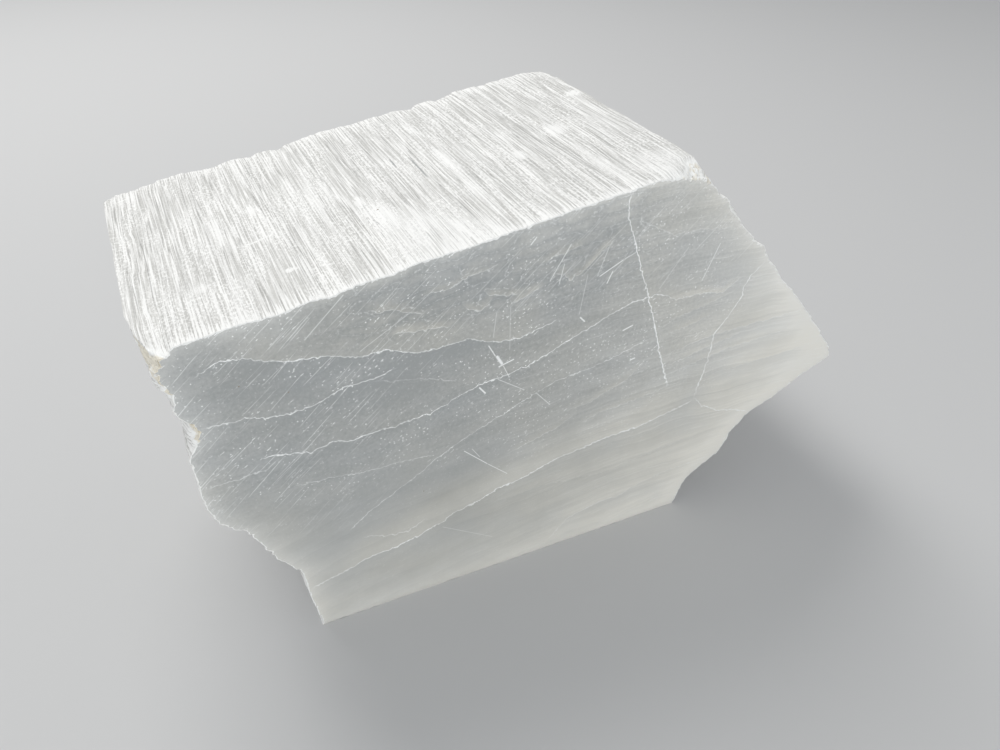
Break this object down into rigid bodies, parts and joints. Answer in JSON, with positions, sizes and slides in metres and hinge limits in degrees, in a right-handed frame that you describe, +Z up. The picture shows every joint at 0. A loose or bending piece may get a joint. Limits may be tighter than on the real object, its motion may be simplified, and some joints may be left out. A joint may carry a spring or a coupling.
{
  "type": "ulexite specimen",
  "caption": "Block of fibrous, translucent white ulexite with a polished, cracked front end, split silky sides and a flat base to rest on.",
  "frame": {"origin": "middle of the underside of the block's bounding box, on the surface that the block rests on", "axes": "+X along the block's longest extent, towards the overhanging point; +Y along the fibres, from the polished front end to the back; +Z up"},
  "size_m": [0.1046, 0.0476, 0.0623],
  "materials": {
    "ulexite": "Milky translucent parallel fibres: silky white with fine streaks along the split faces, grey-white and semi-polished with pale cracks on the front sawn end, matt on the back sawn end."
  },
  "bodies": {
    "root": {"ulexite_block": "ulexite"}
  },
  "joints": []
}
